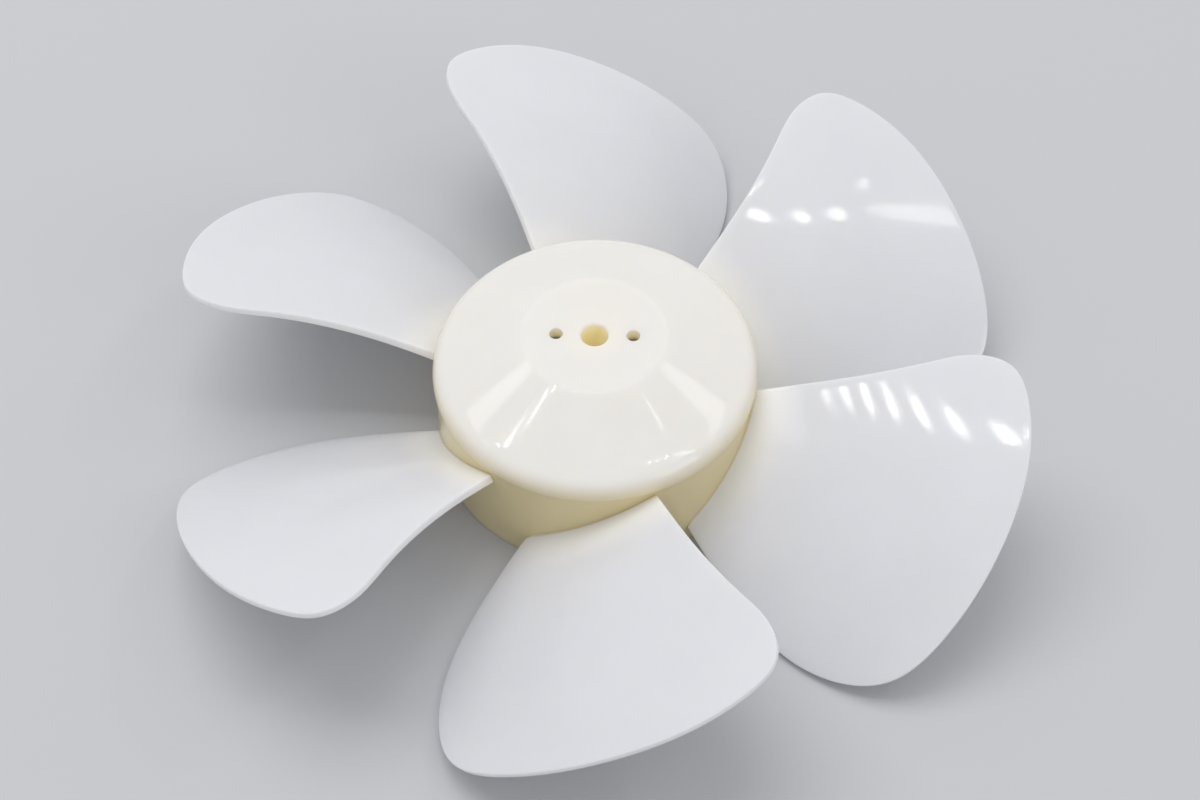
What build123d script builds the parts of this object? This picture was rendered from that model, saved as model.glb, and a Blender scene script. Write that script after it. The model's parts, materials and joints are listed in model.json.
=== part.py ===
"""Axial fan impeller: a hub shell with a shaft boss and six blades, moulded in one piece.

Units are millimetres. The impeller's axis is +Z. The hub stands on its rear rim at z = 0,
with its nose up, and the two fixing holes lie on the X axis. The first blade points along +Y.
"""
from build123d import *
import os
from math import cos, radians, sin, tan

# Overall
tip_diameter = 200.0
blade_count = 6

# Hub shell, from the nose face at the front to the open rear rim
hub_depth = 38.0
rim_diameter = 74.0
nose_diameter = 32.4
nose_crease_radius = 1.5
cone_angle = 22.5
shoulder_radius = 4.4
rim_height = 3.6
rim_step = 0.4
nose_wall = 3.0
skirt_wall = 2.2
skirt_draft_angle = 0.6

# Shaft boss and its bore
bore_diameter = 6.0
bore_mouth_radius = 0.8
boss_diameter = 13.0
boss_length = 22.0

# Two fixing holes through the nose
fixing_hole_diameter = 3.0
fixing_hole_spacing = 17.3

# Stiffening ribs inside the hub, between the boss and the skirt
rib_count = 6
rib_thickness = 1.6
rib_height = 7.0
rib_start_angle = 30.0

# Blade sections, at equal steps from inside the skirt to just past the tip: height of the
# section's middle over the rear rim, pitch angle, camber radius and thickness
section_heights = (13.4, 18.8, 21.9, 23.0)
section_pitches = (32.4, 30.6, 29.2, 28.2)
section_camber_radii = (600.0, 300.0, 230.0, 300.0)
section_thicknesses = (2.2, 1.9, 1.6, 1.4)
blade_edge_bevel = 0.4

# Blade outline seen along the axis, as (share of the span from skirt to tip, angle from the
# blade's own radial line): up the high edge, round the tip and back down the low edge
blade_outline = (
    (0.00, 24.7),
    (0.30, 24.8),
    (0.60, 26.7),
    (0.77, 27.4),
    (0.88, 25.6),
    (0.95, 20.2),
    (0.992, 11.5),
    (1.00, 2.0),
    (0.983, -8.4),
    (0.93, -15.4),
    (0.76, -20.9),
    (0.54, -24.1),
    (0.27, -24.6),
    (0.00, -22.4),
)

# The sheet that a blade is cut from covers this angle each side of the blade's radial line
# at the skirt, and runs past the blade's outline by these margins at its tip and its sides
blank_root_angle = 30.0
blank_tip_margin = 3.0
blank_side_margin = 7.5

# How far a hole's cutter stands out of the surface it starts from
cutter_overrun = 1.0

rim_radius = rim_diameter / 2
skirt_radius = rim_radius - rim_step
tip_radius = tip_diameter / 2
nose_radius = nose_diameter / 2
boss_radius = boss_diameter / 2
bore_radius = bore_diameter / 2
blade_root_radius = skirt_radius - skirt_wall / 2
cone_drop = (rim_radius - nose_radius) * tan(radians(cone_angle))


def hub_envelope():
    """A plain solid that ends inside the hub's walls, to trim what is added in the cup."""
    inside_nose = hub_depth - nose_wall / 2
    section = Polyline(
        (0, inside_nose),
        (nose_radius, inside_nose),
        (blade_root_radius, inside_nose - cone_drop),
        (blade_root_radius, 0),
        (0, 0),
        close=True,
    )
    return revolve(Plane.XZ * make_face(section), Axis.Z)


def hub_shell():
    """The cup: a flat nose, a shallow cone, a rounded shoulder, a rim and a skirt behind it."""
    cavity_top = hub_depth - nose_wall
    mouth_radius = skirt_radius - skirt_wall
    throat_radius = mouth_radius - (cavity_top - cone_drop) * tan(radians(skirt_draft_angle))
    flat_radius = nose_radius - nose_wall * tan(radians(cone_angle / 2))
    throat_height = cavity_top - (throat_radius - flat_radius) * tan(radians(cone_angle))
    rim_bottom = hub_depth - cone_drop - rim_height
    axis_top = (0, hub_depth)
    axis_bottom = (0, cavity_top)
    rounded_corners = {
        (nose_radius, hub_depth): nose_crease_radius,
        (rim_radius, hub_depth - cone_drop): shoulder_radius,
    }
    sharp_corners = [
        (rim_radius, rim_bottom),
        (skirt_radius, rim_bottom),
        (skirt_radius, 0),
        (mouth_radius, 0),
        (throat_radius, throat_height),
        (flat_radius, cavity_top),
    ]
    wall = FilletPolyline(
        axis_top,
        *rounded_corners,
        *sharp_corners,
        axis_bottom,
        radius=[*rounded_corners.values(), *(0 for corner in sharp_corners)],
    )
    half_section = make_face(Curve() + [wall, Line(axis_bottom, axis_top)])
    return revolve(Plane.XZ * half_section, Axis.Z)


def boss():
    """The tube that grips the shaft, hanging from the nose wall."""
    length = boss_length - nose_wall / 2
    return Pos(0, 0, hub_depth - boss_length) * Cylinder(
        boss_radius, length, align=(Align.CENTER, Align.CENTER, Align.MIN)
    )


def ribs():
    """Radial ribs under the nose, from the boss out to the skirt."""
    rib_bottom = hub_depth - nose_wall - rib_height
    rib = Pos(0, 0, rib_bottom) * Box(
        rim_radius, rib_thickness, hub_depth - rib_bottom, align=(Align.MIN, Align.CENTER, Align.MIN)
    )
    spread = [Rot(0, 0, rib_start_angle + 360 / rib_count * n) * rib for n in range(rib_count)]
    return (Part() + spread) & hub_envelope()


def bore():
    """The shaft's hole, right through the boss, with its mouth rounded over at the nose."""
    mouth_outer = bore_radius + bore_mouth_radius
    mouth_bottom = hub_depth - bore_mouth_radius
    cutter_top = hub_depth + cutter_overrun
    cutter = make_face(
        Curve()
        + [
            Line((0, cutter_top), (mouth_outer, cutter_top)),
            Line((mouth_outer, cutter_top), (mouth_outer, hub_depth)),
            CenterArc((mouth_outer, mouth_bottom), bore_mouth_radius, 90, 90),
            Line((bore_radius, mouth_bottom), (bore_radius, 0)),
            Line((bore_radius, 0), (0, 0)),
            Line((0, 0), (0, cutter_top)),
        ]
    )
    return revolve(Plane.XZ * cutter, Axis.Z)


def fixing_holes():
    """The pair of small holes through the nose, one each side of the bore."""
    cutter = Pos(0, 0, hub_depth + cutter_overrun) * Cylinder(
        fixing_hole_diameter / 2, boss_length, align=(Align.CENTER, Align.CENTER, Align.MAX)
    )
    return [Pos(side * fixing_hole_spacing / 2, 0, 0) * cutter for side in (-1, 1)]


def arc_across(arc_radius, half_angle, crown):
    """Start, middle and end of an arc that is symmetric about Y, with its middle at y = crown."""
    return [
        (arc_radius * sin(side * half_angle), arc_radius * (cos(side * half_angle) - 1) + crown)
        for side in (-1, 0, 1)
    ]


def blade_section(radius, height, pitch, camber_radius, thickness):
    """One cambered section of the blade, across its radial line, bulging towards the nose."""
    widest_angle = max(angle for share, angle in blade_outline)
    half_width = tip_radius * sin(radians(widest_angle)) / cos(radians(pitch)) + blank_side_margin
    half_angle = half_width / camber_radius
    upper = arc_across(camber_radius + thickness / 2, half_angle, thickness / 2)
    lower = arc_across(camber_radius - thickness / 2, half_angle, -thickness / 2)
    strip = make_face(
        Curve()
        + [
            ThreePointArc(*upper),
            Line(upper[-1], lower[-1]),
            ThreePointArc(*reversed(lower)),
            Line(lower[0], upper[0]),
        ]
    )
    slope = Vector(cos(radians(pitch)), 0, -sin(radians(pitch)))
    return Plane(origin=(0, radius, height), x_dir=slope, z_dir=(0, -1, 0)) * strip


def blade_blank():
    """The twisted, cambered sheet that the blade's outline is cut from."""
    first_radius = blade_root_radius * cos(radians(blank_root_angle))
    last_radius = tip_radius + blank_tip_margin
    step = (last_radius - first_radius) / (len(section_heights) - 1)
    section_sizes = zip(section_heights, section_pitches, section_camber_radii, section_thicknesses)
    return loft([blade_section(first_radius + step * n, *sizes) for n, sizes in enumerate(section_sizes)])


def blade_plan():
    """The blade's outline seen along the axis, as a prism taller than the blade."""
    span = tip_radius - blade_root_radius
    points = []
    for share, angle in blade_outline:
        radius = blade_root_radius + share * span
        points.append((-radius * sin(radians(angle)), radius * cos(radians(angle))))
    free_edge = Spline(points)
    root = ThreePointArc(points[-1], (0, blade_root_radius), points[0])
    return extrude(make_face(Curve() + [free_edge, root]), tip_radius, both=True)


def blade():
    """One blade, cut to its outline, with its free edges bevelled."""
    sheet = blade_blank() & blade_plan()
    cut_faces = sheet.faces().filter_by(GeomType.EXTRUSION)
    free_edges = cut_faces.edges().filter_by(GeomType.LINE, reverse=True)
    return chamfer(free_edges, blade_edge_bevel)


def impeller():
    """The whole moulding: hub shell, boss and ribs with the blades around it, then the holes."""
    first_blade = blade()
    blades = [Rot(0, 0, 360 / blade_count * n) * first_blade for n in range(blade_count)]
    body = hub_shell() + boss() + ribs() + blades
    return body - bore() - fixing_holes()


os.makedirs("parts", exist_ok=True)
moulding = impeller()
moulding.label = "impeller"
export_step(moulding, "parts/impeller.step")
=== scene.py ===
"""Looks of the axial fan impeller: one glossy ivory moulding on a pale studio floor.

Units are metres, in the CAD model's own frame: the axis is +Z, and the hub stands on z = 0.
"""
import json
from math import cos, pi, radians, sin, tan

import bmesh
import bpy
import numpy as np
from mathutils import Matrix, Vector
from mathutils.geometry import delaunay_2d_cdt

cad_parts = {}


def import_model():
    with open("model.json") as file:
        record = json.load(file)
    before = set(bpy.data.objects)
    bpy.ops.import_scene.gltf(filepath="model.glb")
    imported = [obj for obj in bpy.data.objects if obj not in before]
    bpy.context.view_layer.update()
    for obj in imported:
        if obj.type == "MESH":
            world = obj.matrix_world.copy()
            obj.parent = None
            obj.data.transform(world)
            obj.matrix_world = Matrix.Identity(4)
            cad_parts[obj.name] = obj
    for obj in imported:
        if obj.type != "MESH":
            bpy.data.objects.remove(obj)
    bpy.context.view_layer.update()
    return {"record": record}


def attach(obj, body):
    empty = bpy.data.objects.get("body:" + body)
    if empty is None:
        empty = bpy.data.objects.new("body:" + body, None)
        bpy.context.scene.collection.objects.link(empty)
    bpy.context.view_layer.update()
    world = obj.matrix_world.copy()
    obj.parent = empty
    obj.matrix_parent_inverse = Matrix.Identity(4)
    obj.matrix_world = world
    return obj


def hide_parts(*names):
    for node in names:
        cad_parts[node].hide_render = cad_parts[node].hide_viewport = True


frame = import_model()
mounts = {mount["name"]: mount for mount in frame["record"]["mounts"]}

mm = 0.001

# Sizes that the frame gives
hub_depth = mounts["fixing_holes"]["pos_m"][2]
bore_radius = mounts["shaft_bore"]["dims"]["r_mm"] * mm
fixing_hole_radius = mounts["fixing_holes"]["dims"]["hole_r_mm"] * mm
fixing_hole_spacing = mounts["fixing_holes"]["dims"]["spacing_x_mm"] * mm

# Hub shell and boss, as in the CAD model
rim_radius = 37.0 * mm
rim_step = 0.4 * mm
rim_height = 3.6 * mm
nose_radius = 16.2 * mm
cone_angle = radians(22.5)
nose_wall = 3.0 * mm
skirt_wall = 2.2 * mm
skirt_draft_angle = radians(0.6)
boss_radius = 6.5 * mm
boss_length = 22.0 * mm

# Roundings of the hub: shoulder and bore mouth are as in the CAD model, the nose's crease is
# softer than there, and the other edges are sharp there
nose_crease_radius = 3.0 * mm
shoulder_radius = 4.4 * mm
bore_mouth_radius = 0.8 * mm
inner_corner_radius = 1.0 * mm
small_edge_radius = 0.3 * mm
rim_edge_radius = 0.2 * mm
rim_corner_radius = 0.15 * mm
hole_mouth_radius = 0.25 * mm
hole_flare_angle = radians(75)

# Ribs inside the hub
rib_count = 6
rib_thickness = 1.6 * mm
rib_height = 7.0 * mm
rib_start_angle = radians(30)
rib_edge_radius = 0.3 * mm

# Blades, as in the CAD model: sections at equal steps of radius, and the outline seen along
# the axis as (share of the span from skirt to tip, angle in degrees from the radial line)
blade_count = 6
tip_radius = 100.0 * mm
section_heights = np.array((13.4, 18.8, 21.9, 23.0)) * mm
section_pitches = np.radians((32.4, 30.6, 29.2, 28.2))
section_camber_radii = np.array((600.0, 300.0, 230.0, 300.0)) * mm
section_thicknesses = np.array((2.2, 1.9, 1.6, 1.4)) * mm
blank_root_angle = radians(30)
blank_tip_margin = 3.0 * mm
blank_side_margin = 7.5 * mm
blade_outline = (
    (0.00, 24.7),
    (0.30, 24.8),
    (0.60, 26.7),
    (0.77, 27.4),
    (0.88, 25.6),
    (0.95, 20.2),
    (0.992, 11.5),
    (1.00, 2.0),
    (0.983, -8.4),
    (0.93, -15.4),
    (0.76, -20.9),
    (0.54, -24.1),
    (0.27, -24.6),
    (0.00, -22.4),
)

# Root fillet: how far its circle sinks into the skirt, so that it meets the skirt at an angle
# that the union can cut, and the degrees over which it fades out towards the blade's side edges
root_fillet_radius = 1.2 * mm
root_fillet_sink = 0.06 * mm
fillet_fade_angle = 4.0

# Blade edges: the corner's radius as a share of half the thickness, and how far the outline is
# drawn in so that the leaning side walls stay inside the CAD model's box
edge_roundness = 0.45
edge_inset = 0.12 * mm

# Mesh density
turn_segments = 216
profile_step = 2.2 * mm
corner_segments = 5
hole_segments = 48
rib_edge_segments = 3
curve_points = 4000
edge_step = 0.8 * mm
edge_segments = 5
closing_steps = 28
sheet_step = 1.6 * mm
fillet_step = 0.6 * mm
fillet_rows = 8
fillet_first_angle = radians(18)
buried_row_depth = 4 * root_fillet_sink
merge_gap_mm = 1e-6
sheet_solver_steps = 6
slope_nudge = 0.01 * mm
smooth_angle = radians(32)

# Colour zones of the plastic: where one tone blends into the next. The skirt's tone is painted
# shade, and the tones of the hole walls and the blade roots are painted light
skirt_tone_below_rim = 1.0 * mm
nose_tone_above_rim = 5.0 * mm
root_tone_length = 12.0 * mm
wall_tone_start = 0.1 * mm
wall_tone_end = 0.6 * mm
mouth_tone_start = 0.2 * mm
mouth_tone_end = 1.8 * mm
blade_tone_start = 0.05 * mm
blade_tone_end = 0.5 * mm
rim_tone_margin = 0.3 * mm
ceiling_tone_margin = 0.4 * mm

# Surface of the plastic: each noise's scale per metre and its detail, and what it changes
noise_middle = (0.3, 0.7)
cloud_scale = 45
cloud_detail = 3
cloud_tones = (0.985, 1.01)
wave_scale = 70
wave_detail = 2
wave_strength = 0.1
wave_height = 0.1 * mm
grain_scale = 1400
grain_detail = 2
grain_strength = 0.2
grain_height = 0.01 * mm
gloss_scale = 160
gloss_detail = 4
gloss_roughness = (0.05, 0.08)
plastic_ior = 1.5
translucency = 0.7
scatter_balance = (1.0, 0.93, 0.75)
scatter_depth = 4.5 * mm

# Floor and background
floor_reach = 20.0
fade_distances = (0.25, 1.0)
speck_scale = 900
speck_detail = 3
speck_strength = 0.2
speck_height = 0.1 * mm
floor_roughness = 0.7
sky_strength = 0.55

# Lamps, as place, size and brightness of the face: two soft ones light the part, and the others
# give the highlights of the photograph from the ceiling
overhead_lamp = ((-0.5, 0.6, 1.9), (1.6, 1.2), 2.6)
fill_lamp = ((1.2, -0.9, 0.9), (0.8, 0.8), 1.3)
ceiling = 1.8
row_count = 14
row_start = -1.09
row_step = 0.12
row_size = (0.028, 0.07)
row_strength = 20.0
corner_count = 3
corner_start = (0.56, -0.24)
corner_step = (0.095, 0.045)
corner_size = (0.025, 0.045)
corner_strength = 24.0
end_lamp = ((0.8, 0.03, ceiling), (0.02, 0.05), 10.0)
soft_lamps = {
    "far_right": ((1.06, -0.1, ceiling), (0.45, 0.09), 15.0),
    "far_left": ((-1.4, -0.03, ceiling), (0.25, 0.2), 5.0),
    "side_left": ((-1.42, 0.52, ceiling), (0.3, 0.7), 7.0),
    "side_right": ((1.4, 0.56, ceiling), (0.3, 0.7), 7.0),
}
glow_steps = 5

# Camera, found from the photograph: its frame, focal length and the nose centre's pixel
photo_size = (1200, 800)
focal_length_px = 2112
nose_pixel = (594.6, 334.3)
nose_distance = 471.3 * mm
camera_elevation = radians(52.67)
camera_roll = radians(-0.81)
camera_turn = radians(3.06)
sensor_width_mm = 36.0
nearest_seen = 0.01
farthest_seen = 20

# Worked out from the sizes above
skirt_radius = rim_radius - rim_step
mouth_radius = skirt_radius - skirt_wall
blade_root_radius = skirt_radius - skirt_wall / 2
cone_drop = (rim_radius - nose_radius) * tan(cone_angle)
rim_bottom = hub_depth - cone_drop - rim_height
cavity_top = hub_depth - nose_wall


# ---------------------------------------------------------------- mesh helpers


def new_object(name, vertices, faces):
    """A mesh object in the scene, with its faces turned outwards."""
    mesh = bpy.data.meshes.new(name)
    mesh.from_pydata([tuple(v) for v in vertices], [], [tuple(f) for f in faces])
    piece = bpy.data.objects.new(name, mesh)
    bpy.context.scene.collection.objects.link(piece)
    outward_faces(mesh)
    return piece


def outward_faces(mesh):
    """Turns a closed mesh's faces outwards."""
    edit = bmesh.new()
    edit.from_mesh(mesh)
    bmesh.ops.recalc_face_normals(edit, faces=edit.faces)
    if edit.calc_volume(signed=True) < 0:
        bmesh.ops.reverse_faces(edit, faces=edit.faces)
    edit.to_mesh(mesh)
    edit.free()


def rounded_corner(before, corner, after, radius):
    """Points of the arc that rounds a corner of a flat outline."""
    if radius == 0:
        return [np.array(corner)]
    corner = np.array(corner)
    back = np.array(before) - corner
    ahead = np.array(after) - corner
    back /= np.linalg.norm(back)
    ahead /= np.linalg.norm(ahead)
    half = np.arccos(np.clip(back @ ahead, -1, 1)) / 2
    middle = (back + ahead) / np.linalg.norm(back + ahead)
    centre = corner + middle * radius / sin(half)
    first = corner + back * radius / tan(half) - centre
    last = corner + ahead * radius / tan(half) - centre
    sweep = pi - 2 * half
    points = []
    for n in range(corner_segments + 1):
        share = n / corner_segments
        a = sin((1 - share) * sweep) / sin(sweep)
        b = sin(share * sweep) / sin(sweep)
        points.append(centre + a * first + b * last)
    return points


def rounded_profile(corners):
    """A closed outline through corners of (radius from the axis, height, rounding), in steps."""
    places = [corner[:2] for corner in corners]
    bends = [
        rounded_corner(places[n - 1], places[n], places[(n + 1) % len(places)], corners[n][2])
        for n in range(len(corners))
    ]
    points = []
    for n, bend in enumerate(bends):
        points += bend
        start, end = bend[-1], bends[(n + 1) % len(bends)][0]
        steps = int(np.linalg.norm(end - start) / profile_step)
        points += [start + (end - start) * k / (steps + 1) for k in range(1, steps + 1)]
    return points


def revolved(name, profile):
    """A closed outline turned about Z."""
    vertices = []
    for k in range(turn_segments):
        angle = 2 * pi * k / turn_segments
        vertices += [(r * cos(angle), r * sin(angle), z) for r, z in profile]
    size = len(profile)
    faces = []
    for k in range(turn_segments):
        here = k * size
        there = (k + 1) % turn_segments * size
        for n in range(size):
            m = (n + 1) % size
            faces.append((here + n, there + n, there + m, here + m))
    return new_object(name, vertices, faces)


def repeated(name, vertices, faces, count, start_angle):
    """Copies of a mesh, evenly round Z."""
    all_vertices = []
    all_faces = []
    for n in range(count):
        turn = np.array(Matrix.Rotation(start_angle + 2 * pi * n / count, 3, "Z"))
        all_vertices.append(vertices @ turn.T)
        all_faces += [[v + n * len(vertices) for v in face] for face in faces]
    return new_object(name, np.concatenate(all_vertices), all_faces)


def combine(piece, tool, operation):
    """Joins a tool to the piece or cuts it out, and deletes the tool."""
    modifier = piece.modifiers.new(operation, "BOOLEAN")
    modifier.operation = operation
    modifier.solver = "MANIFOLD"
    modifier.object = tool
    graph = bpy.context.evaluated_depsgraph_get()
    mesh = bpy.data.meshes.new_from_object(piece.evaluated_get(graph))
    piece.modifiers.clear()
    piece.data = mesh
    bpy.data.objects.remove(tool)


# ---------------------------------------------------------------- hub


def hub():
    """The cup with its boss and bore, as one turned outline."""
    throat_radius = mouth_radius - (cavity_top - cone_drop) * tan(skirt_draft_angle)
    flat_radius = nose_radius - nose_wall * tan(cone_angle / 2)
    throat_height = cavity_top - (throat_radius - flat_radius) * tan(cone_angle)
    boss_bottom = hub_depth - boss_length
    corners = (
        (bore_radius, hub_depth, bore_mouth_radius),
        (nose_radius, hub_depth, nose_crease_radius),
        (rim_radius, hub_depth - cone_drop, shoulder_radius),
        (rim_radius, rim_bottom, rim_edge_radius),
        (skirt_radius, rim_bottom, rim_corner_radius),
        (skirt_radius, 0, small_edge_radius),
        (mouth_radius, 0, small_edge_radius),
        (throat_radius, throat_height, inner_corner_radius),
        (flat_radius, cavity_top, inner_corner_radius),
        (boss_radius, cavity_top, inner_corner_radius),
        (boss_radius, boss_bottom, small_edge_radius),
        (bore_radius, boss_bottom, small_edge_radius),
    )
    return revolved("impeller_moulding", rounded_profile(corners))


def ribs():
    """Radial ribs under the nose, each ending inside the walls that it joins."""
    bottom = cavity_top - rib_height
    inner = (boss_radius + bore_radius) / 2
    outline = (
        (inner, bottom),
        (blade_root_radius, bottom),
        (blade_root_radius, hub_depth - cone_drop - nose_wall / 2),
        (nose_radius, hub_depth - nose_wall / 2),
        (inner, hub_depth - nose_wall / 2),
    )
    edit = bmesh.new()
    side = edit.faces.new([edit.verts.new((x, -rib_thickness / 2, z)) for x, z in outline])
    grown = bmesh.ops.extrude_face_region(edit, geom=[side])["geom"]
    moved = [item for item in grown if isinstance(item, bmesh.types.BMVert)]
    bmesh.ops.translate(edit, verts=moved, vec=(0, rib_thickness, 0))
    lower = [
        edge
        for edge in edit.edges
        if all(abs(vert.co.z - bottom) < rib_edge_radius for vert in edge.verts)
        and edge.verts[0].co.y == edge.verts[1].co.y
    ]
    rounding = {"offset": rib_edge_radius, "segments": rib_edge_segments, "profile": 0.5}
    bmesh.ops.bevel(edit, geom=lower, affect="EDGES", **rounding)
    edit.verts.index_update()
    vertices = np.array([vert.co for vert in edit.verts])
    faces = [[vert.index for vert in face.verts] for face in edit.faces]
    edit.free()
    return repeated("ribs", vertices, faces, rib_count, rib_start_angle)


def fixing_holes():
    """Cutters for the two small holes, each flared a little at the nose face."""
    outline = [(fixing_hole_radius, cavity_top - nose_wall)]
    for n in range(corner_segments + 1):
        angle = hole_flare_angle * n / corner_segments
        radius = fixing_hole_radius + hole_mouth_radius * (1 - cos(angle))
        outline.append((radius, hub_depth - hole_mouth_radius * (1 - sin(angle))))
    outline.append((outline[-1][0], hub_depth + nose_wall))
    vertices = []
    faces = []
    for middle in (-fixing_hole_spacing / 2, fixing_hole_spacing / 2):
        rings = []
        for radius, height in outline:
            rings.append(range(len(vertices), len(vertices) + hole_segments))
            for k in range(hole_segments):
                angle = 2 * pi * k / hole_segments
                vertices.append((middle + radius * cos(angle), radius * sin(angle), height))
        for lower, upper in zip(rings, rings[1:]):
            for k in range(hole_segments):
                m = (k + 1) % hole_segments
                faces.append((lower[k], lower[m], upper[m], upper[k]))
        faces += [rings[0], rings[-1]]
    return new_object("fixing_holes", vertices, faces)


# ---------------------------------------------------------------- blades

stations = np.linspace(
    blade_root_radius * cos(blank_root_angle), tip_radius + blank_tip_margin, len(section_heights)
)
widest_angle = radians(max(angle for share, angle in blade_outline))
half_widths = tip_radius * sin(widest_angle) / np.cos(section_pitches) + blank_side_margin
half_angles = half_widths / section_camber_radii


def station_weights(along):
    """Each station's share in the cubic through all of them, at each place along the blade."""
    weights = np.ones((len(stations), len(along)))
    for k, station in enumerate(stations):
        for other in np.delete(stations, k):
            weights[k] *= (along - other) / (station - other)
    return weights


def sheet_height(across, along):
    """Height of the blade's middle sheet over points seen along the axis.

    Each section is an arc. Its point above a place is found by Newton's steps on the share of
    the arc's half angle.
    """
    weights = station_weights(along)
    slopes = section_pitches[:, None]
    radii = section_camber_radii[:, None]
    share = across / tip_radius
    for _ in range(sheet_solver_steps):
        turn = half_angles[:, None] * share
        offset = radii * np.sin(turn)
        drop = radii * (np.cos(turn) - 1)
        reached = (weights * (offset * np.cos(slopes) + drop * np.sin(slopes))).sum(0)
        rate = (weights * half_angles[:, None] * radii * np.cos(turn + slopes)).sum(0)
        share = share - (reached - across) / rate
    heights = section_heights[:, None] - offset * np.sin(slopes) + drop * np.cos(slopes)
    return (weights * heights).sum(0)


def sheet_slope(points):
    """Rise of the sheet per metre along X and along Y."""
    x, y = points.T
    rise_x = sheet_height(x + slope_nudge, y) - sheet_height(x - slope_nudge, y)
    rise_y = sheet_height(x, y + slope_nudge) - sheet_height(x, y - slope_nudge)
    return np.stack((rise_x, rise_y), 1) / (2 * slope_nudge)


def half_thickness(points):
    """Half the blade's thickness, with the root fillet that swells it at the skirt."""
    plain = (station_weights(points[:, 1]) * section_thicknesses[:, None]).sum(0) / 2
    swelling = root_swelling(np.linalg.norm(points, axis=1) - skirt_radius)
    return plain + swelling * fillet_fade(points)


def root_swelling(distance):
    """What the root fillet adds to each side of the blade, that far out from the skirt."""
    reach = np.clip(root_fillet_radius - root_fillet_sink - distance, 0, root_fillet_radius)
    return root_fillet_radius - np.sqrt(root_fillet_radius**2 - reach**2)


def fillet_fade(points):
    """0 along the blade's two side edges at the root, and 1 between them."""
    heading = np.degrees(np.arctan2(-points[:, 0], points[:, 1]))
    gap = np.minimum(blade_outline[0][1] - heading, heading - blade_outline[-1][1])
    share = np.clip(gap / fillet_fade_angle, 0, 1)
    return share * share * (3 - 2 * share)


def fillet_distances():
    """Distances from the skirt at which the root fillet turns by equal steps."""
    turns = np.linspace(fillet_first_angle, pi / 2, fillet_rows)
    return root_fillet_radius * (1 - np.cos(turns)) - root_fillet_sink


def smooth_curve(points, count):
    """Points on the smooth curve through the given ones, with no bend at its two ends."""
    points = np.array(points)
    gaps = np.linalg.norm(np.diff(points, axis=0), axis=1)
    places = np.concatenate(([0], np.cumsum(gaps)))
    size = len(points)
    system = np.eye(size)
    wanted = np.zeros((size, 2))
    for n in range(1, size - 1):
        system[n, n - 1 : n + 2] = gaps[n - 1], 2 * (gaps[n - 1] + gaps[n]), gaps[n]
        after = (points[n + 1] - points[n]) / gaps[n]
        before = (points[n] - points[n - 1]) / gaps[n - 1]
        wanted[n] = 6 * (after - before)
    bends = np.linalg.solve(system, wanted)
    at = np.linspace(0, places[-1], count)
    n = np.clip(np.searchsorted(places, at, side="right") - 1, 0, size - 2)
    gap = gaps[n][:, None]
    left = (places[n + 1] - at)[:, None]
    right = (at - places[n])[:, None]
    cubic = (bends[n] * left**3 + bends[n + 1] * right**3) / (6 * gap)
    first = (points[n] / gap - bends[n] * gap / 6) * left
    last = (points[n + 1] / gap - bends[n + 1] * gap / 6) * right
    return cubic + first + last


def free_edge():
    """The blade's outline from skirt to skirt, in even steps that close up at the root fillet."""
    span = tip_radius - blade_root_radius
    corners = []
    for share, angle in blade_outline:
        radius = blade_root_radius + share * span
        corners.append((-radius * sin(radians(angle)), radius * cos(radians(angle))))
    fine = smooth_curve(corners, curve_points)
    length = np.concatenate(([0], np.cumsum(np.linalg.norm(np.diff(fine, axis=0), axis=1))))
    radius = np.linalg.norm(fine, axis=1)
    third = len(fine) // 3
    close = skirt_radius + fillet_distances()
    rising = np.interp(close, radius[:third], length[:third])
    falling = np.interp(close, radius[::-1][:third], length[::-1][:third])
    steps = np.linspace(0, length[-1], int(length[-1] / edge_step))
    inner = (steps > rising.max() + edge_step / 2) & (steps < falling.min() - edge_step / 2)
    places = np.sort(np.concatenate(([0], rising, steps[inner], falling, [length[-1]])))
    return np.stack([np.interp(places, length, fine[:, k]) for k in (0, 1)], 1)


def edge_rings():
    """Closed rings, from the middle of the blade's side wall over its rounded corner."""
    edge = free_edge()
    ahead = np.gradient(edge, axis=0)
    ahead /= np.linalg.norm(ahead, axis=1)[:, None]
    inward = np.stack((ahead[:, 1], -ahead[:, 0]), 1)
    edge = edge + inward * edge_inset
    steepness = np.sqrt(1 + (sheet_slope(edge) * inward).sum(1) ** 2)
    corner = edge_roundness * half_thickness(edge) / steepness
    rings = [(closed_ring(edge), 0.0)]
    for n in range(edge_segments + 1):
        angle = pi / 2 * n / edge_segments
        ring = edge + inward * (corner * (1 - cos(angle)))[:, None]
        rings.append((closed_ring(ring), 1 - edge_roundness * (1 - sin(angle))))
    return rings


def closed_ring(ring):
    """The ring closed by an arc inside the skirt, from its last point back to its first."""
    headings = np.arctan2(ring[[-1, 0], 0], ring[[-1, 0], 1])
    radii = np.linalg.norm(ring[[-1, 0]], axis=1)
    share = np.arange(1, closing_steps) / closing_steps
    heading = headings[0] + (headings[1] - headings[0]) * share
    radius = radii[0] + (radii[1] - radii[0]) * share
    arc = np.stack((radius * np.sin(heading), radius * np.cos(heading)), 1)
    return np.concatenate((ring, arc))


def inside(points, ring, margin):
    """Which points lie inside the ring, and at least the margin from its points."""
    x, y = points.T
    hits = np.zeros(len(points), int)
    for a, b in zip(ring, np.roll(ring, -1, axis=0)):
        crosses = (a[1] > y) != (b[1] > y)
        rise = b[1] - a[1] if b[1] != a[1] else 1.0
        hits += crosses & (x < a[0] + (y - a[1]) * (b[0] - a[0]) / rise)
    gaps = np.linalg.norm(points[:, None] - ring[None], axis=2).min(1)
    return (hits % 2 == 1) & (gaps > margin)


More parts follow.
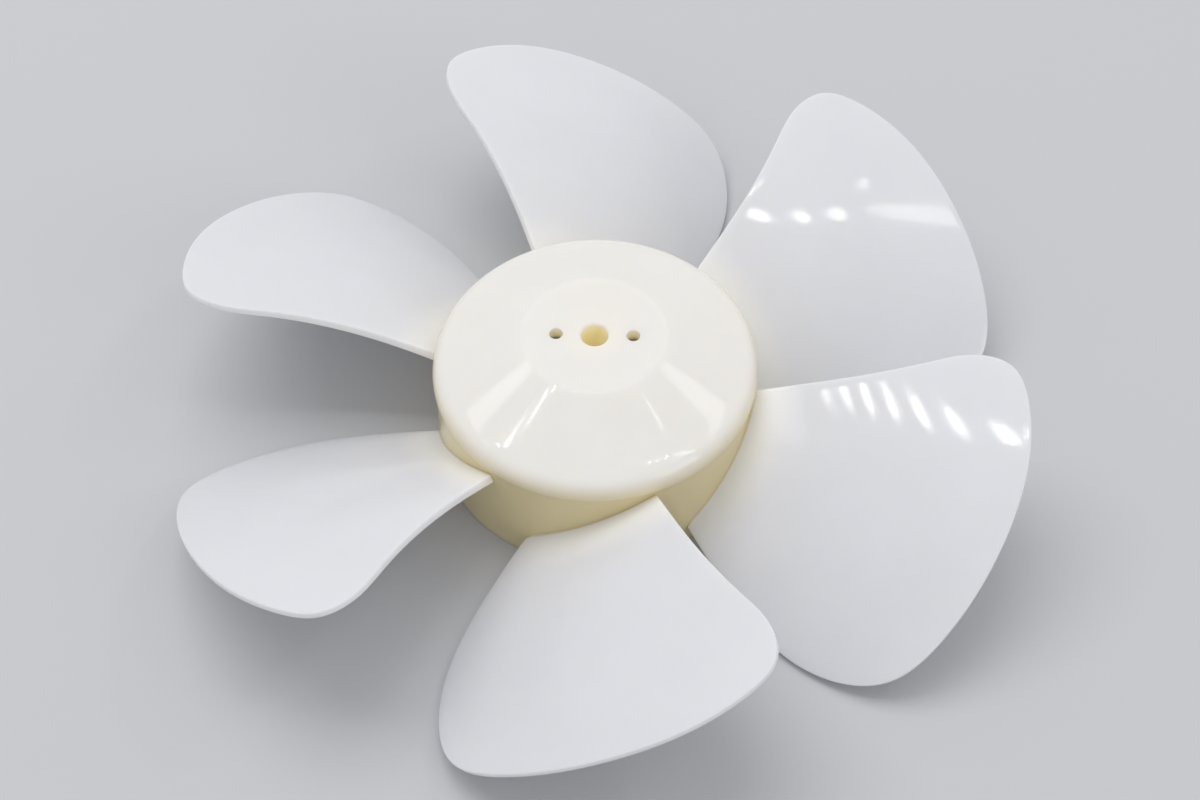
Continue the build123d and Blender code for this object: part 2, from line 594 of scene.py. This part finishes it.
def sheet_points(ring):
    """Points that fill the sheet inside the innermost ring, closer together at the root."""
    height = sheet_step * sin(pi / 3)
    rows = np.arange(skirt_radius * cos(blank_root_angle), tip_radius, height)
    places = np.arange(-tip_radius / 2, tip_radius / 2, sheet_step)
    grid = np.array([(x + sheet_step / 2 * (n % 2), y) for n, y in enumerate(rows) for x in places])
    clear_of_root = np.linalg.norm(grid, axis=1) > skirt_radius + root_fillet_radius + fillet_step
    grid = grid[clear_of_root]
    grid = grid[inside(grid, ring, sheet_step / 2)]
    arcs = []
    end_row = root_fillet_radius + fillet_step
    for distance in (-buried_row_depth, *fillet_distances(), end_row):
        radius = skirt_radius + distance
        headings = np.arange(-blank_root_angle, blank_root_angle, fillet_step / radius)
        arcs.append(np.stack((radius * np.sin(headings), radius * np.cos(headings)), 1))
    arcs = np.concatenate(arcs)
    arcs = arcs[inside(arcs, ring, fillet_step / 2)]
    return np.concatenate((grid, arcs))


def lifted(points, share):
    """Points of the sheet raised along its normal by a share of its half thickness."""
    slope = sheet_slope(points)
    normal = np.concatenate((-slope, np.ones((len(points), 1))), 1)
    normal /= np.linalg.norm(normal, axis=1)[:, None]
    middle = np.column_stack((points, sheet_height(*points.T)))
    return middle + normal * (half_thickness(points) * share)[:, None]


def blade_mesh():
    """Vertices and faces of one blade, the one that points along +Y."""
    rings = edge_rings()
    size = len(rings[0][0])
    innermost = rings[-1][0]
    filling = sheet_points(innermost)
    flat = np.concatenate((innermost, filling)) / mm
    wall = [list(range(size))]
    inside_only = 1
    result = delaunay_2d_cdt([Vector(p) for p in flat], [], wall, inside_only, merge_gap_mm)
    found, origins = result[2:4]
    corners = [origin[0] for origin in origins]
    triangles = [[corners[v] for v in face] for face in found]
    vertices = [lifted(rings[0][0], 0)]
    faces = []
    for sign in (1, -1):
        base = sum(map(len, vertices))
        vertices += [lifted(ring, sign * share) for ring, share in rings[1:]]
        vertices.append(lifted(filling, sign))
        starts = [0] + [base + size * n for n in range(len(rings) - 1)]
        for lower, upper in zip(starts, starts[1:]):
            for n in range(size):
                m = (n + 1) % size
                quad = (lower + n, lower + m, upper + m, upper + n)
                faces.append(quad if sign == 1 else quad[::-1])
        top = starts[-1]
        for face in triangles:
            moved = [top + v for v in face]
            faces.append(moved[::-1] if sign == 1 else moved)
    return np.concatenate(vertices), faces


def blades():
    """All the blades, evenly round the axis."""
    return repeated("blades", *blade_mesh(), blade_count, 0)


def moulding():
    """The whole impeller as one closed skin."""
    piece = hub()
    combine(piece, ribs(), "UNION")
    combine(piece, blades(), "UNION")
    combine(piece, fixing_holes(), "DIFFERENCE")
    piece.data.shade_smooth()
    piece.data.set_sharp_from_angle(angle=smooth_angle)
    return piece


# ---------------------------------------------------------------- materials


class Nodes:
    """Short calls for building a material's nodes."""

    def __init__(self, name):
        self.material = bpy.data.materials.new(name)
        self.material.use_nodes = True
        self.tree = self.material.node_tree
        self.shader = self.tree.nodes["Principled BSDF"]

    def add(self, kind, inputs=(), **settings):
        """A node with its inputs set to plain values or linked to sockets."""
        node = self.tree.nodes.new(kind)
        for key, value in settings.items():
            setattr(node, key, value)
        for socket, value in dict(inputs).items():
            if isinstance(value, bpy.types.NodeSocket):
                self.tree.links.new(value, node.inputs[socket])
            else:
                node.inputs[socket].default_value = value
        return node

    def maths(self, operation, *values):
        """The result of one Math node."""
        return self.add("ShaderNodeMath", dict(enumerate(values)), operation=operation).outputs[0]

    def link(self, value, socket):
        """Joins a node's socket to one of the shader's."""
        self.tree.links.new(value, self.shader.inputs[socket])


def linear(red, green, blue):
    """A colour given in screen values of 0 to 255, by the sRGB curve."""
    channels = [c / 255 for c in (red, green, blue)]
    return (*(c / 12.92 if c <= 0.04045 else ((c + 0.055) / 1.055) ** 2.4 for c in channels), 1.0)


# Colours as the screen shows them, and painted glows for the light that comes through the plastic,
# which are linear. The skirt's tan is painted shade, and the colours of the hole walls and the blade
# roots are painted light
nose_colour = linear(251, 243, 234)
painted_skirt_shade = linear(228, 213, 168)
painted_hole_light = linear(254, 240, 198)
no_glow = (0.0, 0.0, 0.0, 1.0)
painted_hole_glow = (0.085, 0.08, 0.058, 1.0)
painted_inside_glow = (0.03, 0.028, 0.02, 1.0)
painted_root_light = linear(250, 248, 242)
blade_colour = linear(229, 229, 231)
floor_colour = linear(203, 204, 206)
background_colour = linear(205, 207, 210)
sky_colour = linear(250, 251, 255)


def ramp(nodes, value, start, end, low=0.0, high=1.0):
    """A smooth change from low to high as a value goes from start to end."""
    limits = {"From Min": start, "From Max": end, "To Min": low, "To Max": high}
    inputs = {"Value": value, **limits}
    return nodes.add("ShaderNodeMapRange", inputs, interpolation_type="SMOOTHSTEP").outputs["Result"]


def blend_colours(nodes, share, first, second):
    """A colour between two, each a socket or plain values."""
    node = nodes.add("ShaderNodeMixRGB", {"Fac": share, "Color1": first, "Color2": second})
    return node.outputs["Color"]


def noise(nodes, place, scale, detail):
    """A noise texture's value at each place."""
    inputs = {"Vector": place, "Scale": scale, "Detail": detail}
    return nodes.add("ShaderNodeTexNoise", inputs).outputs["Fac"]


def bumped(nodes, height, strength, distance, **base):
    """A normal that a height bumps, over another normal where one is given."""
    inputs = {"Height": height, "Strength": strength, "Distance": distance, **base}
    return nodes.add("ShaderNodeBump", inputs).outputs["Normal"]


def plan_distance(nodes, axes, offset=0.0):
    """Distance from the axis, or from each of two like lines beside it on the X axis."""
    shifted = nodes.maths("SUBTRACT", nodes.maths("ABSOLUTE", axes["X"]), offset)
    flat = nodes.add("ShaderNodeCombineXYZ", {"X": shifted, "Y": axes["Y"]}).outputs[0]
    return nodes.add("ShaderNodeVectorMath", {0: flat}, operation="LENGTH").outputs["Value"]


def hole_walls(nodes, axes):
    """1 on the walls of the bore and the two small holes, where light and a glow are painted, fading
    out at their mouths.
    """
    masks = []
    for offset, hole_radius in ((0.0, bore_radius), (fixing_hole_spacing / 2, fixing_hole_radius)):
        start = hole_radius + wall_tone_start
        end = hole_radius + wall_tone_end
        masks.append(ramp(nodes, plan_distance(nodes, axes, offset), start, end, 1.0, 0.0))
    lower = hub_depth - mouth_tone_end
    upper = hub_depth - mouth_tone_start
    below_mouth = ramp(nodes, axes["Z"], lower, upper, 1.0, 0.0)
    return nodes.maths("MULTIPLY", nodes.maths("MAXIMUM", *masks), below_mouth)


def cup_inside(nodes, axes):
    """1 on the surfaces inside the hub, which light reaches only through the plastic, and where a
    glow for that light is painted.
    """
    radius = plan_distance(nodes, axes)
    past_nose = nodes.maths("MAXIMUM", nodes.maths("SUBTRACT", radius, nose_radius), 0.0)
    raised = nodes.maths("MULTIPLY_ADD", past_nose, tan(cone_angle), axes["Z"])
    start = cavity_top + ceiling_tone_margin
    under = ramp(nodes, raised, start, cavity_top + nose_wall / 2, 1.0, 0.0)
    within = ramp(nodes, radius, mouth_radius + rim_tone_margin, blade_root_radius, 1.0, 0.0)
    return nodes.maths("MULTIPLY", under, within)


def beyond_skirt(nodes, axes, radius):
    """1 on the blades, and 0 on the hub with its rim band."""
    step_out = ramp(nodes, axes["Z"], rim_bottom - rim_tone_margin, rim_bottom, 0.0, 2 * rim_step)
    past_rim = nodes.maths("SUBTRACT", radius, step_out)
    return ramp(nodes, past_rim, skirt_radius + blade_tone_start, skirt_radius + blade_tone_end)


def plastic_colour(nodes, place, axes, walls):
    """Creamy hub front, cooler blades and faint clouding, with painted shade that makes the skirt
    darker and warmer, and painted light that makes the hole walls lighter and warmer and the blade
    roots lighter.
    """
    radius = plan_distance(nodes, axes)
    # Painted shade: the hub's side turns darker and warmer below the rim, where it is in shade
    start = rim_bottom - skirt_tone_below_rim
    height = ramp(nodes, axes["Z"], start, rim_bottom + nose_tone_above_rim)
    colour = blend_colours(nodes, height, painted_skirt_shade, nose_colour)
    # Painted light: the walls of the bore and the small holes are lighter and warmer, for the light
    # that comes through the plastic
    colour = blend_colours(nodes, walls, colour, painted_hole_light)
    # Painted light: each blade is lighter and warmer at its root, lifting the shade where it meets
    # the hub
    along_blade = ramp(nodes, radius, rim_radius, rim_radius + root_tone_length)
    blade = blend_colours(nodes, along_blade, painted_root_light, blade_colour)
    colour = blend_colours(nodes, beyond_skirt(nodes, axes, radius), colour, blade)
    clouds = noise(nodes, place, cloud_scale, cloud_detail)
    tone = ramp(nodes, clouds, *noise_middle, *cloud_tones)
    toned = nodes.add("ShaderNodeVectorMath", {0: colour, 1: tone}, operation="MULTIPLY")
    return toned.outputs[0]


def moulded_skin(nodes, place):
    """The faint waviness and grain of a moulded surface, as a bumped normal."""
    waves = noise(nodes, place, wave_scale, wave_detail)
    wavy = bumped(nodes, waves, wave_strength, wave_height)
    grain = noise(nodes, place, grain_scale, grain_detail)
    return bumped(nodes, grain, grain_strength, grain_height, Normal=wavy)


def ivory_plastic():
    """Glossy, slightly translucent moulded plastic, with a painted glow on the hole walls and inside
    the hub.
    """
    nodes = Nodes("ivory_plastic")
    place = nodes.add("ShaderNodeTexCoord").outputs["Object"]
    axes = nodes.add("ShaderNodeSeparateXYZ", {"Vector": place}).outputs
    walls = hole_walls(nodes, axes)
    nodes.link(plastic_colour(nodes, place, axes, walls), "Base Color")
    # Painted light: a faint glow inside the hub and a stronger one on the hole walls, standing for
    # the light that comes through the plastic
    glow = blend_colours(nodes, cup_inside(nodes, axes), no_glow, painted_inside_glow)
    nodes.link(blend_colours(nodes, walls, glow, painted_hole_glow), "Emission Color")
    gloss = noise(nodes, place, gloss_scale, gloss_detail)
    nodes.link(ramp(nodes, gloss, *noise_middle, *gloss_roughness), "Roughness")
    nodes.link(moulded_skin(nodes, place), "Normal")
    shader = nodes.shader.inputs
    shader["IOR"].default_value = plastic_ior
    shader["Subsurface Weight"].default_value = translucency
    shader["Subsurface Radius"].default_value = scatter_balance
    shader["Subsurface Scale"].default_value = scatter_depth
    shader["Emission Strength"].default_value = 1.0
    return nodes.material


# ---------------------------------------------------------------- stage, light and camera


def seen_rays(tree):
    """1 for what the camera sees, directly or in a reflection or through glass."""
    rays = tree.nodes.new("ShaderNodeLightPath").outputs
    straight_or_glossy = tree.nodes.new("ShaderNodeMath")
    tree.links.new(rays["Is Camera Ray"], straight_or_glossy.inputs[0])
    tree.links.new(rays["Is Glossy Ray"], straight_or_glossy.inputs[1])
    every = tree.nodes.new("ShaderNodeMath")
    every.use_clamp = True
    tree.links.new(straight_or_glossy.outputs[0], every.inputs[0])
    tree.links.new(rays["Is Transmission Ray"], every.inputs[1])
    return every.outputs[0]


def floor_paper():
    """Matt pale paper that fades into the background's own colour far from the part."""
    nodes = Nodes("floor_paper")
    place = nodes.add("ShaderNodeTexCoord").outputs["Object"]
    speck = noise(nodes, place, speck_scale, speck_detail)
    nodes.link(bumped(nodes, speck, speck_strength, speck_height), "Normal")
    nodes.shader.inputs["Base Color"].default_value = floor_colour
    nodes.shader.inputs["Roughness"].default_value = floor_roughness
    length = nodes.add("ShaderNodeVectorMath", {0: place}, operation="LENGTH")
    far = ramp(nodes, length.outputs["Value"], *fade_distances)
    fade = nodes.maths("MULTIPLY", far, seen_rays(nodes.tree))
    glow = nodes.add("ShaderNodeEmission", {"Color": background_colour, "Strength": 1.0}).outputs[0]
    paper = nodes.shader.outputs[0]
    mixed = nodes.add("ShaderNodeMixShader", {0: fade, 1: paper, 2: glow}).outputs[0]
    nodes.tree.links.new(mixed, nodes.tree.nodes["Material Output"].inputs["Surface"])
    return nodes.material


def floor():
    """A plain pale floor."""
    signs = ((-1, -1), (1, -1), (1, 1), (-1, 1))
    corners = [(x * floor_reach, y * floor_reach, 0) for x, y in signs]
    piece = new_object("floor", corners, [(0, 1, 2, 3)])
    piece.data.materials.append(floor_paper())


def world():
    """Even light from all round; the camera sees the pale background in its place."""
    sky = bpy.data.worlds.new("studio")
    sky.use_nodes = True
    tree = sky.node_tree
    light = tree.nodes["Background"]
    light.inputs["Color"].default_value = sky_colour
    light.inputs["Strength"].default_value = sky_strength
    seen = tree.nodes.new("ShaderNodeBackground")
    seen.inputs["Color"].default_value = background_colour
    choice = tree.nodes.new("ShaderNodeMixShader")
    tree.links.new(seen_rays(tree), choice.inputs[0])
    tree.links.new(light.outputs[0], choice.inputs[1])
    tree.links.new(seen.outputs[0], choice.inputs[2])
    tree.links.new(choice.outputs[0], tree.nodes["World Output"].inputs["Surface"])
    bpy.context.scene.world = sky


def area_light(name, place, size, strength):
    """A rectangular lamp that faces straight down; strength is the brightness of its face."""
    lamp = bpy.data.lights.new(name, "AREA")
    lamp.shape = "RECTANGLE"
    lamp.size, lamp.size_y = size
    lamp.energy = strength * pi * size[0] * size[1]
    holder = bpy.data.objects.new(name, lamp)
    holder.location = place
    bpy.context.scene.collection.objects.link(holder)
    return holder


def soft_glow(name, place, size, strength):
    """A lamp that fades towards its edge, as nested ellipses."""
    for n in range(glow_steps):
        share = (n + 1) / glow_steps
        inner = (size[0] * share, size[1] * share)
        holder = area_light(f"{name}_{n}", place, inner, strength / glow_steps)
        holder.data.shape = "ELLIPSE"


def lights():
    """Two large soft lamps, and ceiling lamps in a row, at a corner and faded at their edges."""
    overhead = area_light("overhead", *overhead_lamp)
    overhead.visible_glossy = False
    fill = area_light("fill", *fill_lamp)
    fill.rotation_euler = (-fill.location).to_track_quat("-Z", "Y").to_euler()
    for n in range(row_count):
        place = (row_start + row_step * n, 0.0, ceiling)
        area_light(f"row_{n}", place, row_size, row_strength)
    for n in range(corner_count):
        x = corner_start[0] + corner_step[0] * n
        y = corner_start[1] + corner_step[1] * n
        area_light(f"corner_{n}", (x, y, ceiling), corner_size, corner_strength)
    area_light("end_right", *end_lamp)
    for name, lamp in soft_lamps.items():
        soft_glow(name, *lamp)


def camera():
    """The photograph's viewpoint."""
    up_tilt = Vector((0, sin(camera_elevation), cos(camera_elevation)))
    back = Vector((0, -cos(camera_elevation), sin(camera_elevation)))
    right = Vector((1, 0, 0))
    level = cos(camera_roll) * right + sin(camera_roll) * up_tilt
    upright = -sin(camera_roll) * right + cos(camera_roll) * up_tilt
    shift_right = (nose_pixel[0] - photo_size[0] / 2) / focal_length_px * nose_distance
    shift_up = (photo_size[1] / 2 - nose_pixel[1]) / focal_length_px * nose_distance
    place = back * nose_distance - level * shift_right - upright * shift_up
    turn = Matrix.Rotation(camera_turn, 3, "Z")
    axes = Matrix((turn @ level, turn @ upright, turn @ back)).transposed().to_4x4()
    data = bpy.data.cameras.new("camera")
    data.sensor_width = sensor_width_mm
    data.lens = sensor_width_mm * focal_length_px / photo_size[0]
    data.clip_start = nearest_seen
    data.clip_end = farthest_seen
    holder = bpy.data.objects.new("camera", data)
    holder.matrix_world = Matrix.Translation(turn @ place + Vector((0, 0, hub_depth))) @ axes
    bpy.context.scene.collection.objects.link(holder)
    bpy.context.scene.camera = holder


camera()
world()
floor()
lights()
impeller = moulding()
impeller.data.materials.clear()
impeller.data.materials.append(ivory_plastic())
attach(impeller, "root")
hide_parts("impeller")
bpy.context.scene.view_settings.view_transform = "Standard"
